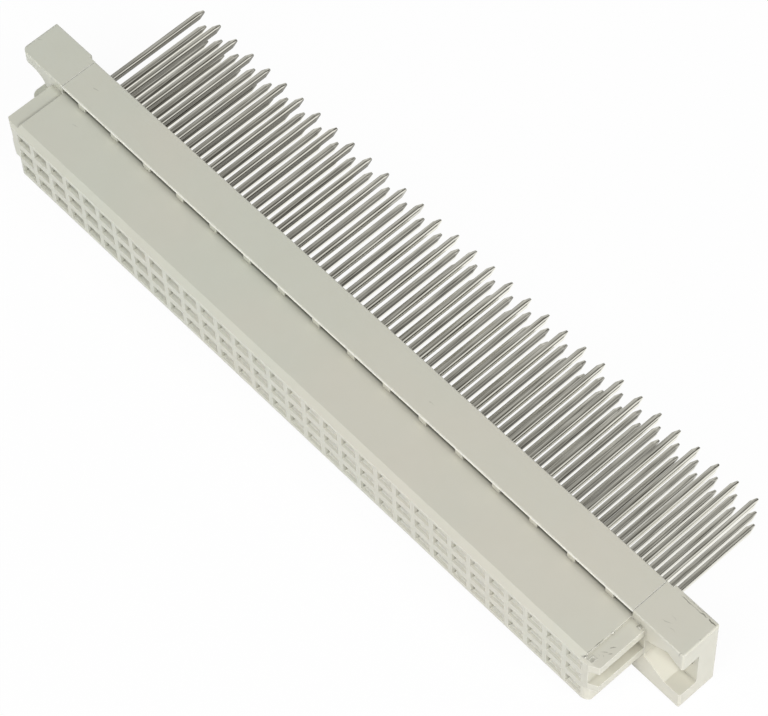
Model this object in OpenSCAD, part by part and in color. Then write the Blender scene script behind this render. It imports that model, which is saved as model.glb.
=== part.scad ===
// Female multi-pin connector with square posts for the board side.
// X runs along the rows, +Y is the way the posts leave, +Z is the keyed broad side.
// The origin is midway between the two screw holes, in the plane that sits on the board.

/* [Contact field] */
// Contact positions along each row
columns = 32; // [4:1:32]
// Rows of contacts
rows = 3; // [1:1:3]
// Distance between neighbouring contacts, along and across the rows
pitch = 2.54; // [2.5:0.01:3]
// How far the middle of the field lies below the line of the screw holes
field_drop = 0.3; // [0:0.05:0.5]

/* [Plug] */
// From the board seat to the mating face
body_depth = 11; // [10:0.1:14]
// From the last column's centre to the end rails' outer face
plug_end = 2.83; // [2.6:0.01:3.4]
// From the outer row's centre to the plug's broad face
plug_side = 1.66; // [1.4:0.01:2]
// Height by which the broad face stands above the end strips
panel_step = 0.22; // [0.1:0.02:0.4]
// Length of each end strip beside the broad face
strip_length = 1.75; // [1.4:0.05:2]
// Length of the lead-in along the broad faces
side_lead = 0.7; // [0.3:0.05:1]
// Drop of the lead-in on the broad faces
side_lead_drop = 0.4; // [0.2:0.05:0.6]
// Length of the lead-in on the end rails
end_lead = 0.5; // [0.3:0.05:1]
// Drop of the lead-in on the end rails
end_lead_drop = 1; // [0.5:0.05:1]
// Height of the upper end rail
upper_rail = 1.25; // [0.8:0.05:1.5]
// Height of the groove between the end rails
groove_height = 2.5; // [1.8:0.05:2.8]
// Depth of the groove into the plug's end
groove_depth = 1; // [0.6:0.05:1.1]
// Height of the lower end rail
lower_rail = 1.15; // [0.6:0.05:1.5]
// Depth of the key step below the lower rail
key_step = 1.02; // [0.8:0.02:1.4]
// Radius of the plug's corners below the key step
key_round = 0.8; // [0.4:0.05:1.2]

/* [Chambers] */
// Width of a chamber's mouth along the row
mouth_width = 2; // [1.7:0.05:2.1]
// Height of a chamber's mouth across the rows
mouth_height = 1.6; // [1.4:0.05:1.8]
// Depth over which the mouth narrows to the shaft
funnel_depth = 0.25; // [0.1:0.05:1]
// Width of the shaft that the fork stands in
shaft_width = 1.76; // [1.6:0.02:1.9]
// Height of the shaft
shaft_height = 1.36; // [0.9:0.02:1.4]

/* [Flange] */
// Depth of the flange, from the board seat to its mating side
flange_depth = 4.7; // [4.3:0.1:6]
// From the outer row's centre to the flange's broad face
flange_side = 2.76; // [2.5:0.02:3.2]
// Length of each ear, from the carrier to the end of the part
ear_length = 6.5; // [6:0.1:9]
// From the ear's end to the screw hole's centre
hole_from_end = 2; // [1.8:0.1:3]
// Diameter of the screw holes
hole_diameter = 2.8; // [2.4:0.1:3.2]
// Width of the nut pocket around each screw hole, between two flats
nut_width = 5.5; // [4.6:0.1:5.8]
// Depth of the pocket from the ear's mating side
pocket_depth = 2.2; // [1.5:0.1:2.5]
// From the screw hole's centre up to the top of the right ear's slot
right_slot_top = 2.15; // [1.5:0.05:2.7]
// From the screw hole's centre up to the top of the left ear's slot
left_slot_top = 3.6; // [3.2:0.05:3.8]
// From the screw hole's centre down to the floor of the left ear's slot
left_slot_low = 2.9; // [1.5:0.05:3.1]
// From the screw hole's centre to the middle of the left slot's inner round
left_slot_start = 0.3; // [0:0.05:0.6]
// Radius of the left slot's inner round
slot_round = 1.9; // [1:0.1:2.2]
// Height of the pads that sit on the board
pad_height = 0.3; // [0.1:0.05:0.5]
// From the carrier to the near edge of each pad
pad_inset = 0.9; // [0.5:0.1:1.5]
// Radius of the ears' corners at their ends
ear_round = 0.25; // [0.1:0.05:1]
// Radius of the left ear's corner on the mating side
left_round = 1; // [0.2:0.05:1.2]
// Radius of the ears' corners on the board side
board_round = 0.3; // [0.05:0.05:0.5]
// Bevel along the flange's long edges
edge_bevel = 0.08; // [0.02:0.02:0.3]

/* [Carrier] */
// From the last column's centre to the carrier's end
carrier_end = 1.13; // [1:0.01:1.3]
// Thickness of the plate that the posts pass through
plate = 1.2; // [0.8:0.1:1.6]
// Thickness of the two skins that reach over the housing
skin = 0.32; // [0.24:0.02:0.5]
// Width of the ribs under the skins
rib_width = 1; // [0.6:0.1:2]
// Distance between the ribs
rib_pitch = 5; // [4:0.1:8]
// Gap between the carrier and the ears
seam = 0.03; // [0.02:0.01:0.1]
// Clearance between pieces that seat in one another
fit = 0.02; // [0.01:0.005:0.03]

/* [Contacts] */
// Side of the square posts
post = 0.6; // [0.5:0.05:0.65]
// Length of the posts beyond the board seat
post_length = 13; // [3:0.5:17]
// Length of the bevelled tip
tip_length = 0.8; // [0.3:0.1:1.5]
// Side of the flat at the tip
tip_flat = 0.22; // [0.1:0.02:0.4]
// Width of the fork across its arms
fork_width = 1.5; // [1.4:0.02:1.54]
// Length of the fork's solid base
base_length = 2.4; // [1.5:0.1:3]
// Length of the shoulders that lock the contact in the housing
shoulder_length = 0.6; // [0.3:0.05:1]
// Length over which the shoulders narrow to the base
shoulder_taper = 0.3; // [0.1:0.05:0.6]
// Length over which the fork's throat closes
throat_length = 0.6; // [0.2:0.05:1]
// Width of an arm where it leaves the base
arm_root = 0.4; // [0.3:0.02:0.45]
// Width of an arm at its contact point
arm_tip = 0.34; // [0.25:0.02:0.4]
// Width of the flat at each arm's end
arm_flat = 0.17; // [0.1:0.01:0.3]
// Gap between the arms at the contact points
contact_gap = 0.48; // [0.4:0.02:0.55]
// Length of the flare that leads the mating pin in
flare = 0.45; // [0.2:0.05:0.8]
// From the mating face to the arms' ends
fork_setback = 0.9; // [0.6:0.1:3]

/* [Hidden] */
function column_name(i) = str("contact_column_", i < 10 ? "0" : "", i);
$fn = 48;
overlap = 0.1;

field_length = (columns - 1) * pitch;
field_height = (rows - 1) * pitch;

// Half sizes, measured from the middle of the contact field.
plug_x = field_length / 2 + plug_end;
plug_z = field_height / 2 + plug_side;
flange_z = field_height / 2 + flange_side;
carrier_x = field_length / 2 + carrier_end;
ear_x = carrier_x + ear_length;
hole_x = ear_x - hole_from_end;
panel_x = plug_x - strip_length;
nut_corner = nut_width / sqrt(3);

// Places along Y.
face_y = -body_depth;
flange_y = -flange_depth;
carrier_y = -pad_height;
plate_y = carrier_y - plate;
seat_y = plate_y - fit;
slot_y = seat_y - base_length;
fork_y = face_y + fork_setback;

function column_x(i) = (i - 1) * pitch - field_length / 2;
function row_z(i) = (i - 1) * pitch - field_height / 2;

// Extrudes a drawing of Y and Z along X, about the middle.
module along_x(length) {
    rotate([90, 0, 90])
        linear_extrude(length, center = true)
            children();
}

// Extrudes a drawing of X and Z along Y, between two places.
module along_y(from, to) {
    translate([0, to, 0])
        rotate([90, 0, 0])
            linear_extrude(to - from)
                children();
}

// Extrudes a drawing of X and Y along Z, between two places.
module along_z(from, to) {
    translate([0, 0, from])
        linear_extrude(to - from)
            children();
}

module both_ends() {
    children();
    mirror([1, 0, 0])
        children();
}

// Puts a shape that is drawn about the contact field in its place below the screw holes.
module in_field() {
    translate([0, 0, -field_drop])
        children();
}

// What is cut from a square corner at the drawing's origin to round it.
module corner_cut(radius) {
    difference() {
        translate([-overlap, -overlap])
            square(radius + overlap);
        translate([radius, radius])
            circle(radius);
    }
}

// The plug's outline seen from the mating side, with the rails and key step at both ends.
module plug_outline() {
    strip_z = plug_z - panel_step;
    groove_top = strip_z - upper_rail;
    groove_low = groove_top - groove_height;
    rail_low = groove_low - lower_rail;
    end = [
        [panel_x, plug_z],
        [panel_x, strip_z],
        [plug_x, strip_z],
        [plug_x, groove_top],
        [plug_x - groove_depth, groove_top],
        [plug_x - groove_depth, groove_low],
        [plug_x, groove_low],
        [plug_x, rail_low],
        [plug_x - key_step, rail_low],
        [plug_x - key_step, -plug_z]
    ];
    polygon(concat(end, [for (i = [len(end) - 1:-1:0]) [-end[i][0], end[i][1]]]));
}

// The plug's section across the rows, with the lead-ins of the broad faces.
module plug_section() {
    rear = flange_y + overlap;
    polygon([
        [face_y, side_lead_drop - plug_z],
        [face_y, plug_z - side_lead_drop],
        [face_y + side_lead, plug_z],
        [rear, plug_z],
        [rear, -plug_z],
        [face_y + side_lead, -plug_z]
    ]);
}

// The plug seen from its broad side, with the lead-ins of the end rails.
module plug_plan() {
    rear = flange_y + overlap;
    polygon([
        [end_lead_drop - plug_x, face_y],
        [plug_x - end_lead_drop, face_y],
        [plug_x, face_y + end_lead],
        [plug_x, rear],
        [-plug_x, rear],
        [-plug_x, face_y + end_lead]
    ]);
}

module plug() {
    rail_low = plug_z - panel_step - upper_rail - groove_height - lower_rail;
    difference() {
        intersection() {
            along_y(face_y, flange_y + overlap)
                plug_outline();
            along_x(2 * plug_x)
                plug_section();
            along_z(-plug_z, plug_z)
                plug_plan();
        }
        both_ends()
            along_z(-plug_z - overlap, rail_low)
                translate([plug_x - key_step, face_y])
                    rotate(90)
                        corner_cut(key_round);
    }
}

// The middle of the housing, which reaches back between the carrier's skins.
module tongue() {
    tongue_x = carrier_x + seam + overlap;
    translate([-tongue_x, flange_y - overlap, -plug_z])
        cube([2 * tongue_x, seat_y - flange_y + overlap, 2 * plug_z]);
}

// One column of chambers seen from the broad side: mouth, funnel and shaft.
module chamber_plan() {
    funnel_y = face_y + funnel_depth;
    polygon([
        [-mouth_width / 2, face_y - overlap],
        [mouth_width / 2, face_y - overlap],
        [mouth_width / 2, face_y],
        [shaft_width / 2, funnel_y],
        [shaft_width / 2, seat_y + overlap],
        [-shaft_width / 2, seat_y + overlap],
        [-shaft_width / 2, funnel_y],
        [-mouth_width / 2, face_y]
    ]);
}

// One row of chambers in section: mouth, funnel, shaft and the slot that guides the fork's base.
module chamber_section() {
    funnel_y = face_y + funnel_depth;
    slot = post + 2 * fit;
    upper = [
        [face_y - overlap, mouth_height / 2],
        [face_y, mouth_height / 2],
        [funnel_y, shaft_height / 2],
        [slot_y, shaft_height / 2],
        [slot_y, slot / 2],
        [seat_y + overlap, slot / 2]
    ];
    polygon(concat(upper, [for (i = [len(upper) - 1:-1:0]) [upper[i][0], -upper[i][1]]]));
}

module chambers() {
    intersection() {
        for (i = [1:columns])
            translate([column_x(i), 0, 0])
                along_z(-plug_z, plug_z)
                    chamber_plan();
        for (i = [1:rows])
            translate([0, 0, row_z(i)])
                along_x(2 * plug_x)
                    chamber_section();
    }
}

// The flange's section across the rows, shared by the ears and the carrier.
module flange_section(rear) {
    polygon([
        [flange_y, flange_z - edge_bevel],
        [flange_y + edge_bevel, flange_z],
        [rear - edge_bevel, flange_z],
        [rear, flange_z - edge_bevel],
        [rear, edge_bevel - flange_z],
        [rear - edge_bevel, -flange_z],
        [flange_y + edge_bevel, -flange_z],
        [flange_y, edge_bevel - flange_z]
    ]);
}

// One ear seen from the broad side, with its raised pad and rounded outer corners.
module ear_plan(mating_round) {
    near = carrier_x + seam;
    pad_x = carrier_x + pad_inset;
    difference() {
        polygon([
            [near, flange_y],
            [ear_x, flange_y],
            [ear_x, 0],
            [pad_x, 0],
            [pad_x, carrier_y],
            [near, carrier_y]
        ]);
        translate([ear_x, flange_y])
            rotate(90)
                corner_cut(mating_round);
        translate([ear_x, 0])
            rotate(180)
                corner_cut(board_round);
    }
}

// One ear seen from the mating side, with both corners at its end rounded.
module ear_outline() {
    near = carrier_x + seam;
    difference() {
        translate([near, -flange_z])
            square([ear_x - near, 2 * flange_z]);
        translate([ear_x, -flange_z])
            rotate(90)
                corner_cut(ear_round);
        translate([ear_x, flange_z])
            rotate(180)
                corner_cut(ear_round);
    }
}

module ear_body(mating_round) {
    in_field()
        intersection() {
            along_y(flange_y, 0)
                ear_outline();
            along_z(-flange_z, flange_z)
                ear_plan(mating_round);
            along_x(2 * ear_x)
                flange_section(0);
        }
}

// One ear with its screw hole and nut pocket. The slot that opens the pocket is drawn by a child.
module ear(mating_round) {
    difference() {
        ear_body(mating_round);
        translate([hole_x, 0, 0]) {
            along_y(flange_y - overlap, flange_y + pocket_depth) {
                rotate(90)
                    circle(nut_corner, $fn = 6);
                children();
            }
            along_y(flange_y - overlap, overlap)
                circle(d = hole_diameter);
        }
    }
}

// The right ear's slot. Its floor is level with the nut's lowest corner.
module right_slot() {
    translate([0, -nut_corner])
        square([hole_from_end + overlap, nut_corner + right_slot_top]);
}

// The left ear's slot, which reaches past the nut and has a round inner corner.
module left_slot() {
    translate([left_slot_start, -left_slot_low])
        square([hole_from_end + overlap - left_slot_start, left_slot_low + left_slot_top]);
    translate([left_slot_start, left_slot_top - slot_round])
        circle(slot_round);
}

module front_housing() {
    color([0.80, 0.79, 0.74])
        union() {
            in_field()
                difference() {
                    union() {
                        plug();
                        tongue();
                    }
                    chambers();
                }
            ear(ear_round)
                right_slot();
            mirror([1, 0, 0])
                ear(left_round)
                    left_slot();
        }
}

// The carrier's section: the plate with a skin over each broad side of the tongue.
module carrier_section() {
    difference() {
        flange_section(carrier_y);
        translate([flange_y - overlap, skin - flange_z])
            square([plate_y - flange_y + overlap, 2 * (flange_z - skin)]);
    }
}

// The ribs that stand between one skin and the tongue.
module ribs() {
    count = floor((2 * carrier_x - rib_width) / rib_pitch);
    tongue_top = plug_z + fit;
    for (i = [0:count - 1])
        translate([(i - (count - 1) / 2) * rib_pitch - rib_width / 2, flange_y, tongue_top])
            cube([rib_width, plate_y + overlap - flange_y, flange_z - skin / 2 - tongue_top]);
}

// One square hole for each post, through the plate.
module post_holes() {
    hole = post + 2 * fit;
    intersection() {
        for (i = [1:columns])
            translate([column_x(i) - hole / 2, plate_y - overlap, -flange_z])
                cube([hole, plate + 2 * overlap, 2 * flange_z]);
        for (i = [1:rows])
            translate([-carrier_x, plate_y - overlap, row_z(i) - hole / 2])
                cube([2 * carrier_x, plate + 2 * overlap, hole]);
    }
}

module rear_carrier() {
    color([0.81, 0.80, 0.75])
        in_field()
            difference() {
                union() {
                    along_x(2 * carrier_x)
                        carrier_section();
                    ribs();
                    mirror([0, 0, 1])
                        ribs();
                }
                post_holes();
            }
}

// One contact seen from the broad side: tip, post, shoulder, base and the two arms.
module contact_plan() {
    shoulder = shaft_width / 2 - fit;
    half = fork_width / 2;
    touch = contact_gap / 2;
    touch_y = fork_y + flare;
    side = [
        [tip_flat / 2, post_length],
        [post / 2, post_length - tip_length],
        [post / 2, seat_y],
        [shoulder, seat_y],
        [shoulder, seat_y - shoulder_length],
        [half, seat_y - shoulder_length - shoulder_taper],
        [half, slot_y],
        [touch + arm_tip, touch_y],
        [half, fork_y],
        [half - arm_flat, fork_y],
        [touch, touch_y],
        [half - arm_root, slot_y - throat_length],
        [touch, slot_y]
    ];
    polygon(concat(side, [for (i = [len(side) - 1:-1:0]) [-side[i][0], side[i][1]]]));
}

// One contact in section: flat stock with the bevels of the tip.
module contact_section() {
    polygon([
        [fork_y, -post / 2],
        [post_length - tip_length, -post / 2],
        [post_length, -tip_flat / 2],
        [post_length, tip_flat / 2],
        [post_length - tip_length, post / 2],
        [fork_y, post / 2]
    ]);
}

// The contacts of one position, one in each row.
module contact_column(i) {
    color([0.72, 0.72, 0.70])
        in_field()
            translate([column_x(i), 0, 0])
                intersection() {
                    along_z(-flange_z, flange_z)
                        contact_plan();
                    for (row = [1:rows])
                        translate([0, 0, row_z(row)])
                            along_x(pitch)
                                contact_section();
                }
}

front_housing();
rear_carrier();
for (i = [1:columns]) contact_column(i);
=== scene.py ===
import math

import bpy
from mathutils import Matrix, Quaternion, Vector


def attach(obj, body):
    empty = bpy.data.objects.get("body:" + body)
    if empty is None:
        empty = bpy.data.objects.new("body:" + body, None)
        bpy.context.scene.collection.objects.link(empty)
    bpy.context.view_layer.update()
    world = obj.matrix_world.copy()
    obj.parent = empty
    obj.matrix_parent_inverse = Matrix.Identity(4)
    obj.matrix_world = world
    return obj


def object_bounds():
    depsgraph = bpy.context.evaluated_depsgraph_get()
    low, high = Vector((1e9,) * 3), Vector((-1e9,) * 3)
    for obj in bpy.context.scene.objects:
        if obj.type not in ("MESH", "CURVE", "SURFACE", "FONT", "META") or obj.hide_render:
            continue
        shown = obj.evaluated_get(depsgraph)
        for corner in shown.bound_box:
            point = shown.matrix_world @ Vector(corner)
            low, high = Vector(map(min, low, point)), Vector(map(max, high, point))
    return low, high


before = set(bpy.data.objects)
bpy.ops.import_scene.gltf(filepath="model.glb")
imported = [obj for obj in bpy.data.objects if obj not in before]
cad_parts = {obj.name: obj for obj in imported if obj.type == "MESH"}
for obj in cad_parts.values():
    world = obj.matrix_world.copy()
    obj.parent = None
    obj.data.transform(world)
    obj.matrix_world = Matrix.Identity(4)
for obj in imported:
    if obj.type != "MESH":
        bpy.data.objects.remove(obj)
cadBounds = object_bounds()
print("frame loaded:", len(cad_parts), "nodes")

mm = 0.001


def linear(red, green, blue):
    # a colour as the eye sees it, 0 to 255, as the values that a shader works with
    def channel(value):
        share = value / 255
        if share <= 0.04045:
            return share / 12.92
        return ((share + 0.055) / 1.055) ** 2.4
    return (channel(red), channel(green), channel(blue), 1.0)


class Wire:
    # one socket of a material, so that its maths reads as plain sums
    def __init__(self, tree, socket=None):
        self.tree = tree
        self.socket = socket

    def node(self, kind, inputs=None, output=0, stops=None, **settings):
        made = self.tree.nodes.new(kind)
        for name, value in settings.items():
            setattr(made, name, value)
        if stops:
            self.setStops(made.color_ramp, stops)
        for key, value in (inputs or {}).items():
            if isinstance(value, Wire):
                self.tree.links.new(value.socket, made.inputs[key])
            else:
                made.inputs[key].default_value = value
        return Wire(self.tree, made.outputs[output] if made.outputs else None)

    def setStops(self, ramp, stops):
        while len(ramp.elements) < len(stops):
            ramp.elements.new(0.5)
        for element, (place, value) in zip(ramp.elements, stops):
            element.position = place
            element.color = (value, value, value, 1)

    def maths(self, operation, *values):
        return self.node("ShaderNodeMath", dict(enumerate(values)), operation=operation)

    def __add__(self, other):
        return self.maths("ADD", self, other)

    def __sub__(self, other):
        return self.maths("SUBTRACT", self, other)

    def __rsub__(self, other):
        return self.maths("SUBTRACT", other, self)

    def __mul__(self, other):
        return self.maths("MULTIPLY", self, other)

    def __truediv__(self, other):
        return self.maths("DIVIDE", self, other)

    def __rtruediv__(self, other):
        return self.maths("DIVIDE", other, self)

    __radd__ = __add__
    __rmul__ = __mul__


def newMaterial(name):
    material = bpy.data.materials.new(name)
    material.use_nodes = True
    tree = material.node_tree
    tree.nodes.clear()
    return material, Wire(tree)


def finishMaterial(wire, shader):
    wire.node("ShaderNodeOutputMaterial", {"Surface": shader})


def coordinates(wire, scale=(1, 1, 1)):
    place = wire.node("ShaderNodeTexCoord", output="Object")
    return wire.node("ShaderNodeMapping", {"Vector": place, "Scale": scale})


def noise(wire, place, scale, detail=2.0, roughness=0.5):
    return wire.node("ShaderNodeTexNoise", {
        "Vector": place, "Scale": scale, "Detail": detail, "Roughness": roughness})


def mixColour(wire, share, first, second):
    return wire.node("ShaderNodeMix", {0: share, 6: first, 7: second}, output=2, data_type="RGBA")


def blend(share, low, high):
    # from low where share is 0 to high where it is 1
    return share * (high - low) + low


def rise(wire, value, low, high):
    # from 0 below low to 1 above high, without a corner
    return wire.node("ShaderNodeMapRange", {0: value, 1: low, 2: high, 3: 0.0, 4: 1.0},
                     interpolation_type="SMOOTHSTEP")


def axisOf(wire, vector, axis):
    return wire.node("ShaderNodeSeparateXYZ", {0: vector}, output=axis)


def smear(wire, place, centre, turn, size):
    # 1 in the inner half of an oval mark on the object's broad side, fading to 0 at its rim
    mapped = wire.node("ShaderNodeMapping", {
        "Vector": place,
        "Location": tuple(part * mm for part in centre),
        "Rotation": (0, 0, math.radians(turn)),
        "Scale": (size[0] * mm, size[1] * mm, mm),
    }, vector_type="TEXTURE")
    far = wire.node("ShaderNodeVectorMath", {0: mapped}, output="Value", operation="LENGTH")
    return 1 - rise(wire, far, 0.5, 1.0)


plasticLook = {
    "warm": linear(207, 204, 191),
    "cool": linear(202, 204, 191),
    "dusty": linear(192, 190, 176),
    "edge": linear(248, 247, 239),
    "cornerShade": linear(120, 116, 98),
    "scuffedAndShaded": linear(112, 110, 98),
    "chamber": linear(243, 242, 233),
    "slot": linear(44, 42, 32),
    "roughness": (0.35, 0.45),
    "ior": 1.5,
    "halfLength": 47 * mm,
    "fieldDrop": 0.3 * mm,  # how far the middle row lies below the screw holes
    # the slow change of colour, warmer towards the right end
    "blotchScale": 95,
    "blotchGain": 1.2,
    "warmTilt": 0.3,
    "warmRange": (0.1, 1.1),
    # the fine mottle and the satin grain
    "mottleScale": 420,
    "mottleShare": 0.25,
    "grainScale": 5200,
    "grainHeight": 0.006 * mm,
    "grainStrength": 0.5,
    # painted highlights along the edges and painted shade in the corners
    "edgeRadius": 0.08 * mm,
    "edgeGain": 4.0,
    "edgeSoftness": 0.1,
    "creviceReach": 0.5 * mm,
    "creviceShare": 0.6,
    "samples": 6,
    # painted light on the chambers' floors, stronger towards the right end
    "chamberMouth": (-10.96 * mm, -10.94 * mm),
    "chamberDepth": (-10.0 * mm, -9.5 * mm),
    "shaftMouth": (-10.77 * mm, -10.73 * mm),
    "chamberSide": 40.4 * mm,
    "chamberHalf": 3.38 * mm,
    "chamberLightRange": (-35 * mm, 8 * mm),
    "chamberLightLeast": 0.2,
    "wallTurn": (0.3, 0.8),  # walls that face the right end this much get no painted light
    # the painted shade in the slot under the skins and the painted highlight on the skins' lip
    "slotRange": (-4.72 * mm, -4.42 * mm),
    "slotSide": 40.5 * mm,
    "lipRange": (-4.70 * mm, -4.64 * mm),
    "lipBase": 4.97 * mm,
    # the rubbed marks, with a few dark lines and painted shade listed among them
    "markScale": 2600,
    "markWander": 0.35 * mm,
    "markBreak": (0.30, 0.55),
    "markDepth": 4.0,
    # light that goes a little way into the plastic
    "glow": 0.12,
    "glowReach": 0.35 * mm,
    "glowSpread": (1.0, 0.95, 0.8),
}
# centre in millimetres, turn in degrees, half length and half width in millimetres, how dark
housingScuffsAndShade = [
    # a long thin dark line along the step between the right end strip and the broad face
    ((40.36, -9.35, 3.7), 90, (1.45, 0.07), 0.9),
    ((40.36, -10.55, 3.7), 60, (0.22, 0.12), 0.9),
    ((41.75, -8.75, 3.7), 50, (0.30, 0.06), 0.8),
    ((41.45, -9.35, 3.7), -30, (0.26, 0.05), 0.7),
    ((41.23, -9.01, 3.7), 35, (0.42, 0.09), 0.8),
    ((41.05, -9.55, 3.7), 10, (0.30, 0.07), 0.6),
    ((41.5, -8.14, 3.7), 60, (0.35, 0.08), 0.7),
    ((41.55, -4.87, 3.7), 80, (0.30, 0.12), 0.7),
    # painted shade inside the moulded square frame
    ((41.07, -10.33, 3.7), 0, (0.24, 0.34), 0.5),
    ((40.75, -11.35, 3.0), 30, (0.30, 0.20), 0.5),
    ((43.4, -3.24, 5.0), 20, (0.60, 0.06), 0.30),
    ((44.3, -3.5, 5.0), 5, (0.45, 0.05), 0.25),
    ((43.6, -2.5, 5.0), -10, (0.45, 0.05), 0.2),
    ((46.72, -2.37, 5.0), 50, (0.18, 0.07), 0.6),
    ((46.47, -4.67, 5.0), 60, (0.25, 0.07), 0.5),
    ((43.3, -0.42, 5.0), 0, (1.1, 0.06), 0.8),
    ((44.9, -0.36, 5.0), 2, (1.0, 0.07), 0.85),
    ((46.3, -0.31, 5.0), -3, (0.65, 0.08), 0.95),
    ((44.2, -0.16, 5.0), 0, (2.4, 0.04), 0.6),
    ((-46.48, -2.53, 5.0), 40, (0.35, 0.07), 0.5),
    ((-36.53, -6.43, 3.9), 10, (0.40, 0.06), 0.4),
]
carrierScuffs = [
    ((-37.77, -2.44, 5.0), 15, (0.45, 0.06), 0.4),
    ((12.0, -3.0, 5.0), 0, (0.50, 0.05), 0.25),
]


def mouldedPlastic(name, look, scuffsAndShade, slotShare, lipHighlightShare):
    material, wire = newMaterial(name)
    place = coordinates(wire)
    across, along, upward = (axisOf(wire, place, axis) for axis in "XYZ")
    blotches = noise(wire, place, look["blotchScale"], detail=1)
    mottle = noise(wire, place, look["mottleScale"], detail=4)
    grain = noise(wire, place, look["grainScale"], detail=3, roughness=0.6)
    warmth = blotches * look["blotchGain"] + across * (look["warmTilt"] / look["halfLength"])
    warmth = rise(wire, warmth, *look["warmRange"])
    softened = wire.node("ShaderNodeBevel", {"Radius": look["edgeRadius"]},
                         samples=look["samples"])
    flat = wire.node("ShaderNodeNewGeometry", output="Normal")
    likeness = wire.node("ShaderNodeVectorMath", {0: softened, 1: flat}, output="Value",
                         operation="DOT_PRODUCT")
    # painted highlight along the edges, where the rounded normal parts from the flat one
    edge = wire.maths("SMOOTH_MIN", (1 - likeness) * look["edgeGain"], 1.0, look["edgeSoftness"])
    openness = wire.node("ShaderNodeAmbientOcclusion", {"Distance": look["creviceReach"]},
                         output="AO", samples=look["samples"])
    sideways = wire.maths("ABSOLUTE", across)
    height = wire.maths("ABSOLUTE", upward + look["fieldDrop"])
    # painted light on the chambers' floors, stronger towards the right end
    inChambers = rise(wire, along, *look["chamberMouth"])
    inChambers = inChambers * (1 - rise(wire, along, *look["chamberDepth"]))
    inChambers = inChambers * wire.maths("LESS_THAN", sideways, look["chamberSide"])
    inChambers = inChambers * wire.maths("LESS_THAN", height, look["chamberHalf"])
    rightward = rise(wire, across, *look["chamberLightRange"])
    inChambers = inChambers * blend(rightward, look["chamberLightLeast"], 1.0)
    inChambers = inChambers * (1 - rise(wire, axisOf(wire, flat, "X"), *look["wallTurn"]))
    paintedChamberLight = inChambers * rise(wire, along, *look["shaftMouth"])
    # painted shade in the corners, from ambient occlusion, but not on the chambers' floors
    corner = (1 - openness) * look["creviceShare"] * (1 - inChambers)
    # painted shade in the slot that the skins leave, and a painted highlight on the skins' lip
    inSlot = rise(wire, along, *look["slotRange"])
    inSlot = inSlot * wire.maths("LESS_THAN", sideways, look["slotSide"])
    onLip = 1 - rise(wire, along, *look["lipRange"])
    onLip = onLip * wire.maths("GREATER_THAN", height, look["lipBase"])
    # the rubbed marks and the painted shade among them have a ragged outline and are broken up by
    # the mottle
    wobble = wire.node("ShaderNodeTexNoise", {"Vector": place, "Scale": look["markScale"]},
                       output="Color")
    wobble = wire.node("ShaderNodeVectorMath", {0: wobble, 1: (0.5, 0.5, 0.5)},
                       operation="SUBTRACT")
    wobble = wire.node("ShaderNodeVectorMath", {0: wobble, "Scale": look["markWander"]},
                       operation="SCALE")
    ragged = wire.node("ShaderNodeVectorMath", {0: place, 1: wobble})
    scuffAndShade = 0
    for centre, turn, size, darkness in scuffsAndShade:
        scuffAndShade = smear(wire, ragged, centre, turn, size) * darkness + scuffAndShade
    scuffAndShade = wire.maths("MINIMUM", scuffAndShade, 1.0) * rise(wire, mottle, *look["markBreak"])
    base = mixColour(wire, warmth, look["cool"], look["warm"])
    base = mixColour(wire, mottle * look["mottleShare"], base, look["dusty"])
    base = mixColour(wire, edge, base, look["edge"])
    base = mixColour(wire, corner, base, look["cornerShade"])
    base = mixColour(wire, paintedChamberLight, base, look["chamber"])
    base = mixColour(wire, scuffAndShade, base, look["scuffedAndShaded"])
    base = mixColour(wire, inSlot * slotShare, base, look["slot"])
    base = mixColour(wire, onLip * lipHighlightShare, base, look["edge"])
    bump = wire.node("ShaderNodeBump", {
        "Strength": look["grainStrength"],
        "Distance": look["grainHeight"],
        "Height": grain - scuffAndShade * look["markDepth"],
        "Normal": softened,
    })
    shader = wire.node("ShaderNodeBsdfPrincipled", {
        "Base Color": base,
        "Roughness": blend(mottle, *look["roughness"]),
        "IOR": look["ior"],
        "Subsurface Weight": look["glow"],
        "Subsurface Radius": look["glowSpread"],
        "Subsurface Scale": look["glowReach"],
        "Normal": bump,
    })
    finishMaterial(wire, shader)
    return material


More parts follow.
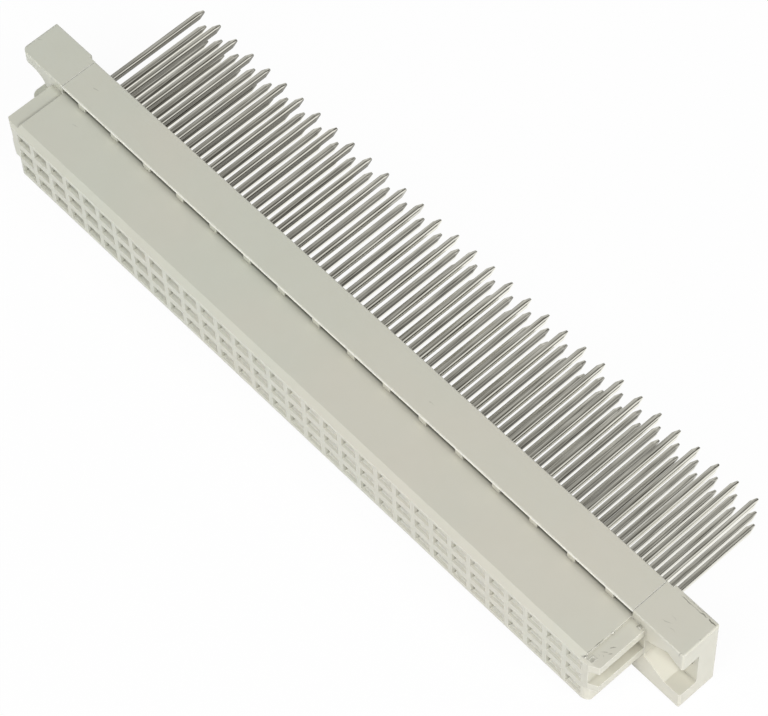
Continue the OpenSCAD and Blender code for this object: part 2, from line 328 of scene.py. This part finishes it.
metalLook = {
    "bright": linear(254, 253, 243),
    "dull": linear(246, 243, 228),
    "dark": linear(50, 46, 36),
    "patchScale": 700,
    "roughness": (0.10, 0.22),
    # the drawn lines along the wire
    "lineScale": (9000, 260, 9000),
    "lineShare": 0.8,
    "lineHeight": 0.004 * mm,
    "lineStrength": 0.15,
    # where the posts are
    "pitch": 2.54 * mm,
    "fieldDrop": 0.3 * mm,
    "postHalf": 0.3 * mm,
    "postStart": -0.5 * mm,
    "postEnd": 12.5 * mm,
    "upperRow": 1.0 * mm,  # above this height a post is in the upper row
    "facing": 0.5,  # a normal that leans this much to an axis belongs to its face
    # how light a post is from its left edge to its right one
    "upperStops": ((0.0, 0.34), (0.10, 0.46), (0.24, 0.42), (0.38, 0.36), (0.48, 0.20), (0.55, 0.08),
                   (0.60, 0.10), (0.67, 0.48), (0.74, 0.90), (0.85, 1.0), (0.91, 0.30), (1.0, 0.06)),
    "lowerStops": ((0.0, 0.40), (0.10, 0.50), (0.24, 0.44), (0.36, 0.38), (0.48, 0.22), (0.58, 0.22),
                   (0.68, 0.34), (0.76, 0.46), (0.84, 0.24), (0.92, 0.08), (1.0, 0.02)),
    "streakMiddle": 0.45,
    "streakLeast": 0.02,
    "wanderScale": (300, 90, 300),
    "wanderShare": 0.16,
    "light": (0.75, 1.25),  # at the carrier and at the tip
    "forkShare": 0.5,
    "flankShare": 0.6,
    # the painted dark rim, a painted reflection, between a post's broad side and its lit side
    "rimOnBroad": (0.84, 0.98),
    "rimOnLit": (-0.45, 0.05),
    "rimStep": 0.6,  # how much narrower it is on the upper row's lit sides
    "rimShare": (1.0, 0.85),  # at the carrier and at the tip
    "rimFade": (25 * mm, 38 * mm),
    "rimFadeShare": 0.7,
    # the painted dark line along the lit sides' lower edge, and their painted shade towards the left
    # end
    "lowEdge": (-0.90, -0.70),
    "lowEdgeShare": 0.3,
    "dimRange": (-14 * mm, -1 * mm),
    "dimShare": 0.78,
}


def tinnedMetal(name, look):
    material, wire = newMaterial(name)
    place = coordinates(wire)
    across, along, upward = (axisOf(wire, place, axis) for axis in "XYZ")
    pitch = look["pitch"]
    fromMiddle = upward + look["fieldDrop"]
    tipward = along / look["postEnd"]

    def inSection(value):
        # the place across a post's own section, from -1 to 1 between its faces
        return (wire.maths("WRAP", value, pitch, 0.0) - pitch / 2) / look["postHalf"]

    side = inSection(across)
    lift = inSection(fromMiddle + pitch / 2)
    normal = wire.node("ShaderNodeNewGeometry", output="Normal")
    steepness = wire.maths("ABSOLUTE", axisOf(wire, normal, "Z"))
    broad = wire.maths("GREATER_THAN", steepness, look["facing"])
    lit = wire.maths("GREATER_THAN", axisOf(wire, normal, "X"), look["facing"])
    inUpper = wire.maths("GREATER_THAN", upward, look["upperRow"])
    onPost = rise(wire, along, look["postStart"], 0.0)
    # each post has its own chance, so that no two have their streaks in the same place
    post = wire.node("ShaderNodeCombineXYZ", {
        0: wire.maths("FLOOR", across / pitch),
        1: wire.maths("FLOOR", fromMiddle / pitch + 0.5),
    })
    chance = wire.node("ShaderNodeTexWhiteNoise", {"Vector": post}, output="Value")
    wander = noise(wire, coordinates(wire, look["wanderScale"]), 1.0) + chance - 1.0
    lines = noise(wire, coordinates(wire, look["lineScale"]), 1.0)
    patches = noise(wire, place, look["patchScale"])
    # the streaks stand for what a post mirrors, and lighten towards its tip
    crosswise = blend(broad, lift, side)
    drift = crosswise * 0.5 + look["streakMiddle"] + wander * look["wanderShare"]
    upper = wire.node("ShaderNodeValToRGB", {0: drift}, stops=look["upperStops"])
    lower = wire.node("ShaderNodeValToRGB", {0: drift}, stops=look["lowerStops"])
    streaks = blend(inUpper, lower, upper) + (lines - 0.5) * look["lineShare"]
    streaks = streaks * blend(tipward, *look["light"])
    streaks = wire.maths("MAXIMUM", wire.maths("MINIMUM", streaks, 1.0), look["streakLeast"])
    shade = (1 - streaks) * blend(onPost, look["forkShare"], 1.0)
    shade = shade * blend(broad, look["flankShare"], 1.0)
    # a painted dark line along the lit sides' lower edge, standing for a reflection
    lowEdge = 1 - rise(wire, lift, *look["lowEdge"])
    shade = blend(lit, shade, lowEdge * look["lowEdgeShare"])
    # the rim is a painted dark reflection on both sides of the corner, and fades towards the right
    # end
    rimOnBroad = rise(wire, side, *look["rimOnBroad"])
    rimOnLit = rise(wire, lift - inUpper * look["rimStep"], *look["rimOnLit"])
    rim = blend(broad, rimOnLit, rimOnBroad)
    rim = rim * (1 - rise(wire, across, *look["rimFade"]) * look["rimFadeShare"])
    rim = rim * blend(tipward, *look["rimShare"])
    shade = wire.maths("MAXIMUM", shade, rim)
    # towards the left end the lit sides mirror the shaded posts behind them
    dim = (1 - rise(wire, across, *look["dimRange"])) * inUpper * lit
    shade = wire.maths("MAXIMUM", shade, dim * look["dimShare"])
    base = mixColour(wire, patches, look["dull"], look["bright"])
    base = mixColour(wire, shade, base, look["dark"])
    bump = wire.node("ShaderNodeBump", {
        "Strength": look["lineStrength"],
        "Distance": look["lineHeight"],
        "Height": lines,
    })
    shader = wire.node("ShaderNodeBsdfPrincipled", {
        "Base Color": base,
        "Metallic": 1.0,
        "Roughness": blend(lines, *look["roughness"]),
        "Normal": bump,
    })
    finishMaterial(wire, shader)
    return material


# only the housing's slot gets painted shade, and only the carrier's skins get a painted highlight on
# their lip
housingPlastic = mouldedPlastic("housing_plastic", plasticLook, housingScuffsAndShade,
                                slotShare=0.8, lipHighlightShare=0.0)
carrierPlastic = mouldedPlastic("carrier_plastic", plasticLook, carrierScuffs,
                                slotShare=0.0, lipHighlightShare=0.9)
contactMetal = tinnedMetal("contact_metal", metalLook)
finishes = {"front_housing": housingPlastic, "rear_carrier": carrierPlastic}
for nodeName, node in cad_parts.items():
    node.data.materials.clear()
    node.data.materials.append(finishes.get(nodeName, contactMetal))
print("materials made")


def startMesh(addMesh, name):
    bpy.ops.object.select_all(action="DESELECT")
    addMesh()
    made = bpy.context.object
    made.name = name
    return made


def addModifier(piece, kind, **settings):
    bpy.ops.object.modifier_add(type=kind)
    modifier = piece.modifiers[-1]
    for key, value in settings.items():
        setattr(modifier, key, value)
    bpy.ops.object.modifier_apply(modifier=modifier.name)


def settle(piece):
    # the place goes into the mesh, and the piece joins the housing's plastic
    bpy.ops.object.transform_apply(location=True, rotation=True, scale=True)
    piece.data.materials.append(housingPlastic)
    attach(piece, "root")


squareLook = {
    "place": (41.07 * mm, -10.33 * mm, 3.68 * mm),
    "size": (0.60, 0.78, 1.0),  # of a square of one millimetre
    "rim": 0.14 * mm,
    "height": 0.07 * mm,
    "round": 0.02 * mm,
}


def makeMouldedSquare(look):
    # a small raised square frame on the right end strip
    square = startMesh(lambda: bpy.ops.mesh.primitive_plane_add(size=mm), "moulded_square")
    bpy.ops.transform.resize(value=look["size"])
    bpy.ops.object.transform_apply(scale=True)
    bpy.ops.object.mode_set(mode="EDIT")
    bpy.ops.mesh.select_all(action="SELECT")
    bpy.ops.mesh.inset(thickness=look["rim"])
    bpy.ops.mesh.delete(type="FACE")
    bpy.ops.object.mode_set(mode="OBJECT")
    addModifier(square, "SOLIDIFY", thickness=look["height"], offset=0)
    addModifier(square, "BEVEL", width=look["round"], segments=2)
    bpy.ops.transform.translate(value=look["place"])
    settle(square)


burrLook = {
    "places": ((40.42, -10.60, 3.72), (40.36, -7.15, 3.84), (41.72, -4.95, 3.70)),  # in millimetres
    "size": (0.16, 0.22, 0.07),  # half sizes in millimetres
    "raggedness": 0.05 * mm,
    "turn": 35,  # degrees from one to the next
}


def makeBurrs(look):
    # rough crumbs of flash, where the mould's halves met at the broad face's corner
    for number, place in enumerate(look["places"], start=1):
        burr = startMesh(lambda: bpy.ops.mesh.primitive_ico_sphere_add(subdivisions=2, radius=mm),
                         f"burr_{number}")
        bpy.ops.transform.resize(value=look["size"])
        bpy.ops.object.transform_apply(scale=True)
        bpy.ops.object.mode_set(mode="EDIT")
        bpy.ops.mesh.select_all(action="SELECT")
        bpy.ops.transform.vertex_random(offset=look["raggedness"], uniform=1.0, seed=number)
        bpy.ops.object.mode_set(mode="OBJECT")
        bpy.ops.transform.rotate(value=math.radians(look["turn"] * number), orient_axis="Z",
                                 center_override=(0, 0, 0))
        bpy.ops.transform.translate(value=tuple(part * mm for part in place))
        settle(burr)


makeMouldedSquare(squareLook)
makeBurrs(burrLook)
print("small moulded details made")


studio = {
    "floorSize": 3.0,
    "floorDrop": 0.02 * mm,
    "floorColour": linear(243, 243, 243),
    "floorLift": 0.96,  # how much of the floor's white is its own, so that the shadow stays
    "worldStrength": 0.3,
    "ceiling": ((0.0, 1.0), (0.35, 1.0), (0.6, 0.85), (1.0, 0.85)),
    "white": (1, 1, 1, 1),
    "lamps": [
        # name, place, size, watts
        ("keyLamp", (0.80, 0.10, 0.50), 0.25, 3.7),
        ("frontLamp", (0.10, -0.80, 0.22), 0.40, 1.5),
        ("topLamp", (0.10, -0.50, 0.70), 0.40, 3.1),
        ("sideLamp", (0.80, -0.05, 0.16), 0.40, 1.2),
    ],
}


def seenRays(wire):
    # 1 for what the camera sees directly, in a mirror or through something clear
    camera, glossy, through = (wire.node("ShaderNodeLightPath", output=f"Is {way} Ray")
                               for way in ("Camera", "Glossy", "Transmission"))
    return wire.maths("MINIMUM", camera + glossy + through, 1.0)


def makeFloor(look):
    low, high = cadBounds
    floor = startMesh(lambda: bpy.ops.mesh.primitive_plane_add(
        size=look["floorSize"], location=(0, 0, low.z - look["floorDrop"])), "floor")
    material, wire = newMaterial("floor_paper")
    paper = wire.node("ShaderNodeBsdfDiffuse", {"Color": look["floorColour"]})
    white = wire.node("ShaderNodeEmission", {"Color": look["white"], "Strength": 1.0})
    lift = seenRays(wire) * look["floorLift"]
    finishMaterial(wire, wire.node("ShaderNodeMixShader", {0: lift, 1: paper, 2: white}))
    floor.data.materials.append(material)


def makeWorld(look):
    # a white room to the horizon, with a dimmer ceiling that the posts' upper faces mirror
    world = bpy.data.worlds.new("studio")
    bpy.context.scene.world = world
    world.use_nodes = True
    tree = world.node_tree
    tree.nodes.clear()
    wire = Wire(tree)
    upward = axisOf(wire, wire.node("ShaderNodeTexCoord", output="Generated"), "Z")
    dome = wire.node("ShaderNodeValToRGB", {0: upward}, stops=look["ceiling"])
    room = wire.node("ShaderNodeBackground", {
        "Color": look["white"], "Strength": look["worldStrength"]})
    backdrop = wire.node("ShaderNodeBackground", {"Color": dome, "Strength": 1.0})
    shown = wire.node("ShaderNodeMixShader", {0: seenRays(wire), 1: room, 2: backdrop})
    wire.node("ShaderNodeOutputWorld", {"Surface": shown})


def makeLamps(look):
    for name, place, size, watts in look["lamps"]:
        lamp = bpy.data.lights.new(name, "AREA")
        lamp.shape = "SQUARE"
        lamp.size = size
        lamp.energy = watts
        holder = bpy.data.objects.new(name, lamp)
        bpy.context.scene.collection.objects.link(holder)
        holder.location = place
        holder.rotation_mode = "QUATERNION"
        holder.rotation_quaternion = (-Vector(place)).to_track_quat("-Z", "Y")


cameraView = {
    "azimuth": 50.089,
    "elevation": 58.831,
    "roll": -3.234,
    "distance": 322.478 * mm,
    "target": (2.781 * mm, -0.821 * mm, -0.304 * mm),
    "lens": 155.97,
    "sensor": 36.0,
    "clip": (0.01, 10.0),
}


def makeCamera(look):
    azimuth = math.radians(look["azimuth"])
    elevation = math.radians(look["elevation"])
    back = Vector((
        math.sin(azimuth) * math.cos(elevation),
        -math.cos(azimuth) * math.cos(elevation),
        math.sin(elevation),
    ))
    camera = bpy.data.cameras.new("camera")
    camera.lens = look["lens"]
    camera.sensor_width = look["sensor"]
    camera.clip_start, camera.clip_end = look["clip"]
    holder = bpy.data.objects.new("camera", camera)
    bpy.context.scene.collection.objects.link(holder)
    holder.location = Vector(look["target"]) + back * look["distance"]
    holder.rotation_mode = "QUATERNION"
    turn = Quaternion((0, 0, 1), math.radians(look["roll"]))
    holder.rotation_quaternion = (-back).to_track_quat("-Z", "Y") @ turn
    bpy.context.scene.camera = holder


makeFloor(studio)
makeWorld(studio)
makeLamps(studio)
makeCamera(cameraView)
bpy.context.scene.view_settings.view_transform = "Standard"
print("studio and camera made")
